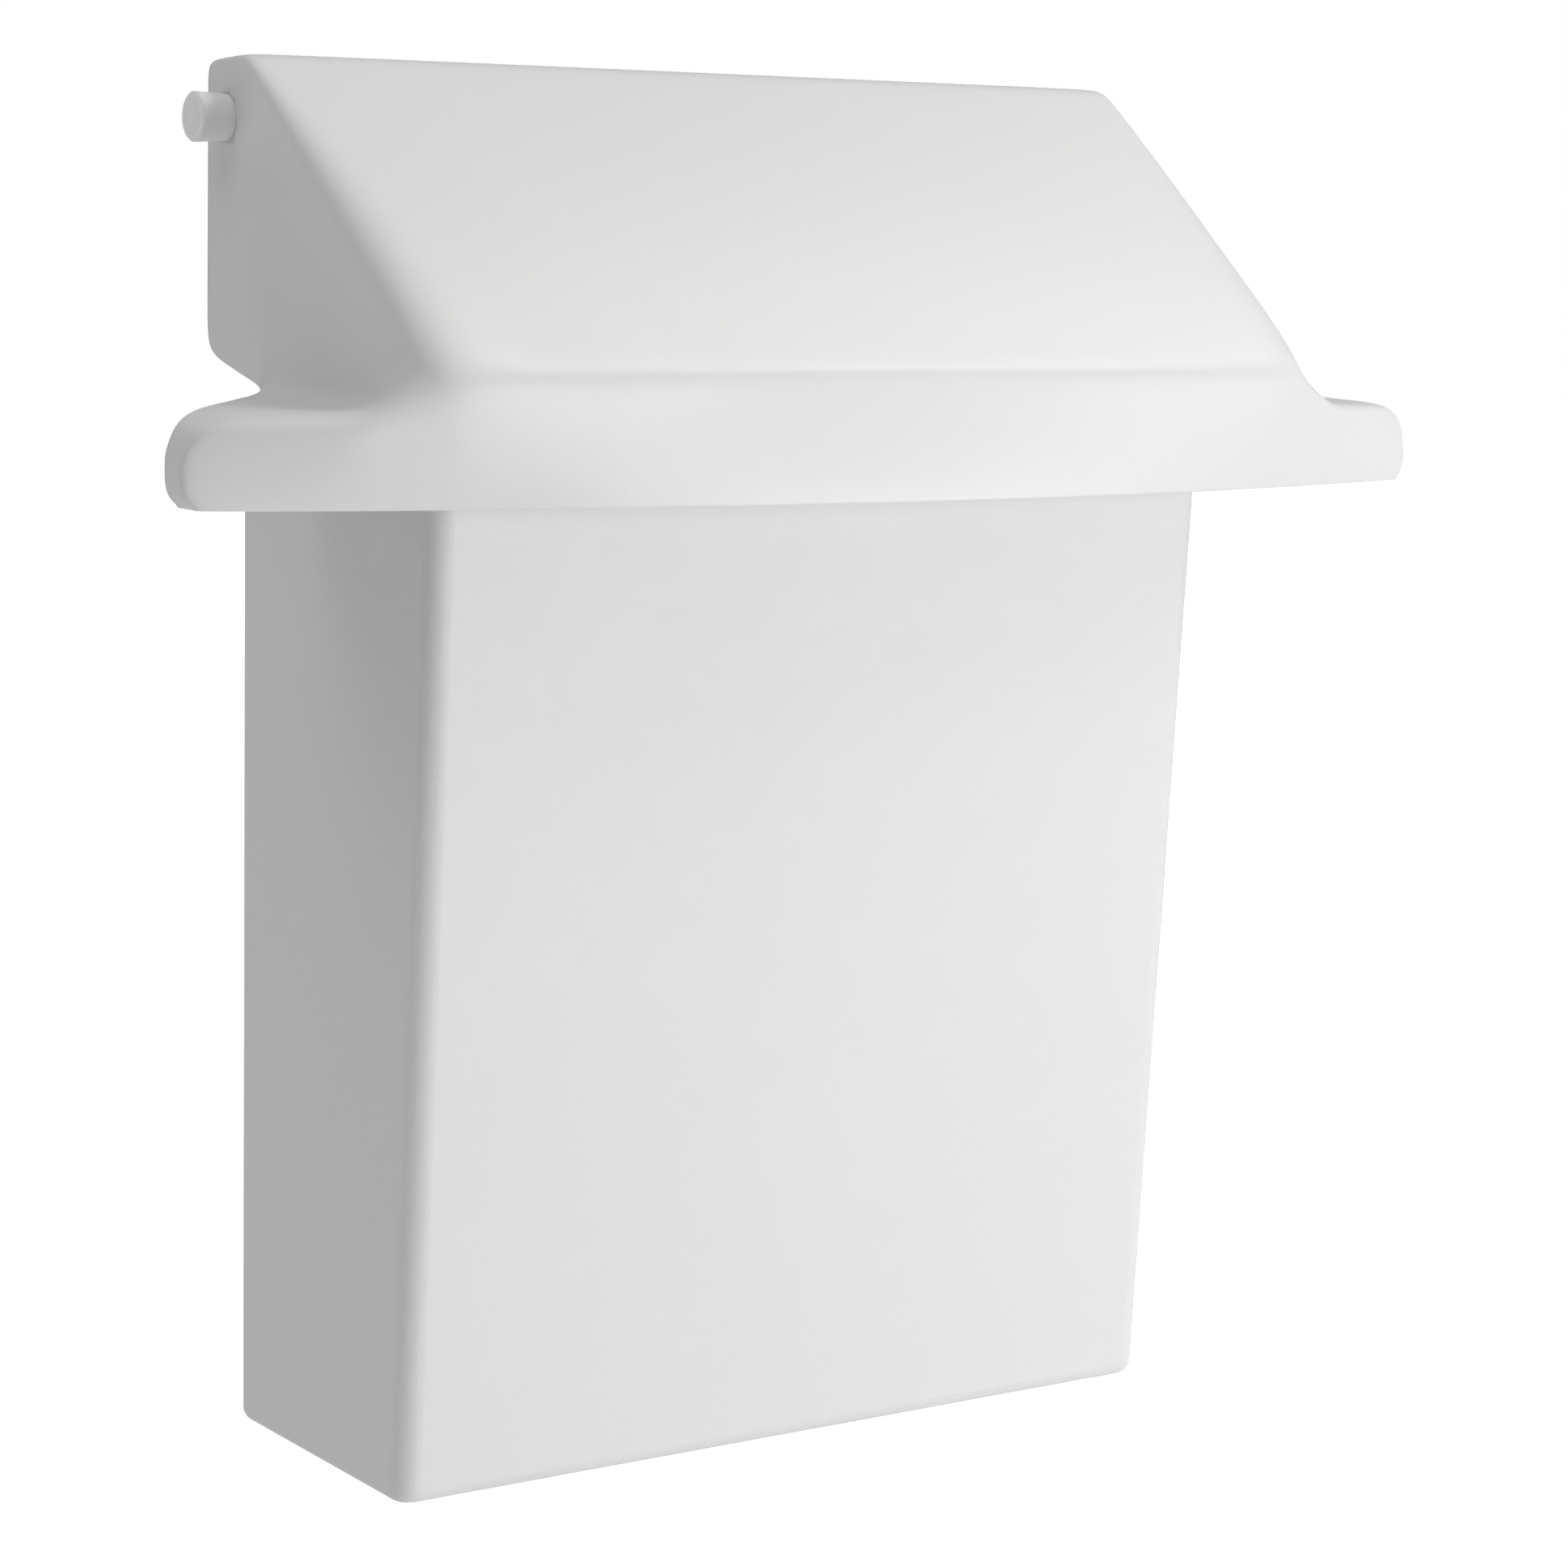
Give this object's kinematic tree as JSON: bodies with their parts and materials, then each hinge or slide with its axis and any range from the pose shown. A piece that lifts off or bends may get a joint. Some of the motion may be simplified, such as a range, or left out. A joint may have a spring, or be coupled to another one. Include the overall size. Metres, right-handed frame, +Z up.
{
  "type": "dog waste bin",
  "caption": "Wall-mounted dog waste bin with a tapered box body, a winged flip-up hood on two side pins, and a lift-out metal liner with a wire bail.",
  "frame": {"origin": "centre of the four wall holes, on the back plate's wall face", "axes": "+X to the bin's right as seen from the front with the viewer facing it, +Y into the wall, +Z up"},
  "size_m": [0.646, 0.24, 0.615],
  "materials": {
    "body_plastic": "fine matte white moulding",
    "hood_plastic": "fine matte white moulding",
    "coated_steel": "pale grey powder coat",
    "zinc_steel": "bright zinc plate",
    "zinc_wire": "zinc-plated drawn wire",
    "galvanised_steel": "hot-dip galvanised sheet",
    "rubber": "black moulded rubber",
    "nylon": "natural nylon",
    "pin_plastic": "satin pale grey moulding",
    "cap_plastic": "satin white moulding",
    "grip_plastic": "dark grey ribbed tube"
  },
  "bodies": {
    "bin": {"body_shell": "body_plastic", "back_plate": "coated_steel", "plate_studs": "zinc_steel", "stud_washers": "zinc_steel", "stud_nuts": "zinc_steel", "liner_pads": "rubber", "hinge_pin_right": "pin_plastic", "hinge_pin_left": "pin_plastic", "pin_cap_right": "cap_plastic", "pin_cap_left": "cap_plastic", "hinge_washer_right": "zinc_steel", "hinge_washer_left": "zinc_steel", "hinge_nut_right": "zinc_steel", "hinge_nut_left": "zinc_steel", "hinge_spacer_right": "nylon", "hinge_spacer_left": "nylon", "stop_clip_right": "rubber", "stop_clip_left": "rubber"},
    "lid": {"hood": "hood_plastic", "hinge_bush_right": "nylon", "hinge_bush_left": "nylon", "lid_buffer_right": "rubber", "lid_buffer_left": "rubber"},
    "liner": {"liner": "galvanised_steel", "lug_rivets": "zinc_steel", "bail_lug_right": "galvanised_steel", "bail_lug_left": "galvanised_steel"},
    "bail": {"bail_handle": "zinc_wire", "bail_grip": "grip_plastic"}
  },
  "joints": [
    {"name": "lid_hinge", "type": "hinge", "parent": "bin", "child": "lid", "pos_m": [0, -0.047, 0.318], "axis": [-1, 0, 0], "range_deg": [0, 120]},
    {"name": "liner_lift", "type": "slide", "parent": "bin", "child": "liner", "axis": [0, 0, 1], "range_m": [0, 0.075]},
    {"name": "bail_swing", "type": "hinge", "parent": "liner", "child": "bail", "pos_m": [0, -0.09414, 0.1562], "axis": [-1, 0, 0], "range_deg": [0, 180]}
  ]
}
